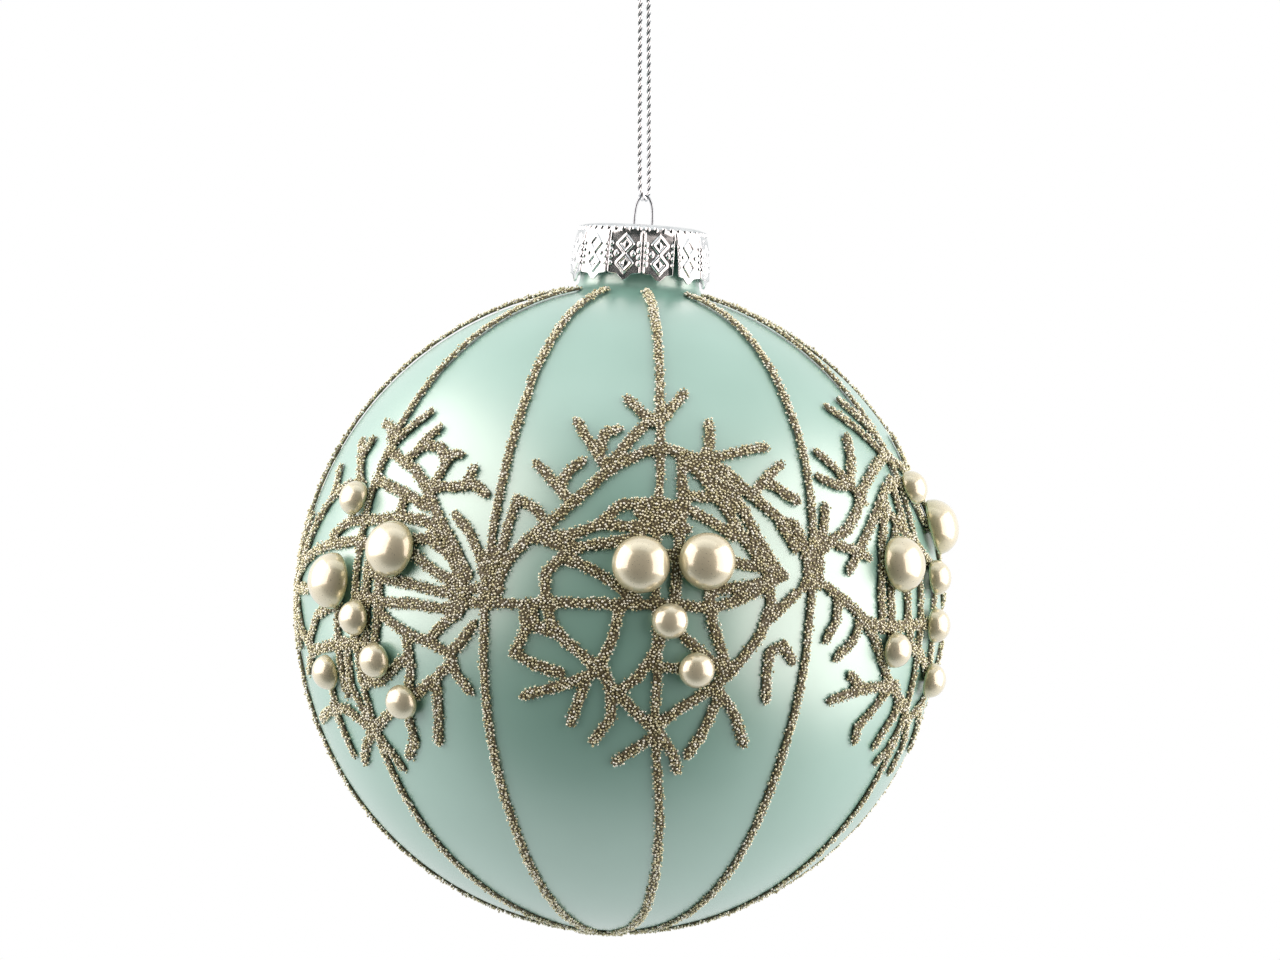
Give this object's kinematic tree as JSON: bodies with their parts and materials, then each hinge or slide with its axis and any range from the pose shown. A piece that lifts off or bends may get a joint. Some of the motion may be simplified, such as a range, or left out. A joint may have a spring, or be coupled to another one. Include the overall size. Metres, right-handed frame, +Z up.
{
  "type": "hanging ball ornament",
  "caption": "Hollow satin glass ball with raised bead-trail snowflakes and half pearls, hung from a crown cap, wire loop and silver cord.",
  "frame": {"origin": "hang point: the inside top of the cord's eye, where a hook or branch carries the ornament", "axes": "+Z up along the ball's own axis; -Y faces the viewer (the front snowflake); +X to the viewer's right"},
  "size_m": [0.1021, 0.108, 0.1664],
  "materials": {
    "mint_glass": "satin mint glass, lacquered, closed to sight",
    "champagne_beads": "champagne metallised micro-beads set in glue",
    "cream_pearl": "cream nacre lacquer over a moulded half pearl",
    "silver_plate": "pressed, bright silver",
    "steel_wire": "drawn spring wire",
    "silver_thread": "twisted metallised thread"
  },
  "bodies": {
    "hang_eye": {"cord_eye": "silver_thread", "cord_knot": "silver_thread"},
    "cord": {"cord_strands": "silver_thread"},
    "wire": {"wire_hanger": "steel_wire"},
    "cap": {"cap_shell": "silver_plate"},
    "ball": {"glass_ball": "mint_glass", "pearl_back_large_1": "cream_pearl", "pearl_back_large_2": "cream_pearl", "pearl_back_left_large_1": "cream_pearl", "pearl_back_left_large_2": "cream_pearl", "pearl_back_left_small_3": "cream_pearl", "pearl_back_left_small_4": "cream_pearl", "pearl_back_left_small_5": "cream_pearl", "pearl_back_left_small_6": "cream_pearl", "pearl_back_left_small_7": "cream_pearl", "pearl_back_right_large_1": "cream_pearl", "pearl_back_right_large_2": "cream_pearl", "pearl_back_right_small_3": "cream_pearl", "pearl_back_right_small_4": "cream_pearl", "pearl_back_right_small_5": "cream_pearl", "pearl_back_right_small_6": "cream_pearl", "pearl_back_right_small_7": "cream_pearl", "pearl_back_small_3": "cream_pearl", "pearl_back_small_4": "cream_pearl", "pearl_front_large_1": "cream_pearl", "pearl_front_large_2": "cream_pearl", "pearl_front_small_3": "cream_pearl", "pearl_front_small_4": "cream_pearl", "pearl_left_large_1": "cream_pearl", "pearl_left_large_2": "cream_pearl", "pearl_left_small_3": "cream_pearl", "pearl_left_small_4": "cream_pearl", "pearl_left_small_5": "cream_pearl", "pearl_left_small_6": "cream_pearl", "pearl_left_small_7": "cream_pearl", "pearl_right_large_1": "cream_pearl", "pearl_right_large_2": "cream_pearl", "pearl_right_small_3": "cream_pearl", "pearl_right_small_4": "cream_pearl", "pearl_right_small_5": "cream_pearl", "pearl_right_small_6": "cream_pearl", "pearl_right_small_7": "cream_pearl", "trail_bottom_boss": "champagne_beads", "trail_flake_back": "champagne_beads", "trail_flake_back_left": "champagne_beads", "trail_flake_back_right": "champagne_beads", "trail_flake_front": "champagne_beads", "trail_flake_left": "champagne_beads", "trail_flake_right": "champagne_beads", "trail_hub_back_left": "champagne_beads", "trail_hub_back_right": "champagne_beads", "trail_hub_front_left": "champagne_beads", "trail_hub_front_right": "champagne_beads", "trail_hub_side_left": "champagne_beads", "trail_hub_side_right": "champagne_beads", "trail_loose_back": "champagne_beads", "trail_loose_front": "champagne_beads"}
  },
  "joints": [
    {"name": "cord_twist", "type": "hinge", "parent": "hang_eye", "child": "cord", "pos_m": [0.00073, 0, -0.012], "axis": [0, 0, 1], "range_deg": [-150, 150], "stiffness_Nm_per_rad": 0.00001},
    {"name": "ball_swing", "type": "hinge", "parent": "cord", "child": "wire", "pos_m": [0.00268, 0, -0.04375], "axis": [0, 1, 0], "range_deg": [-50, 50]},
    {"name": "cap_lift", "type": "slide", "parent": "wire", "child": "cap", "axis": [0, 0, 1], "range_m": [0, 0.003]},
    {"name": "ball_pull", "type": "slide", "parent": "wire", "child": "ball", "axis": [0, 0, -1], "range_m": [0, 0.018]}
  ]
}
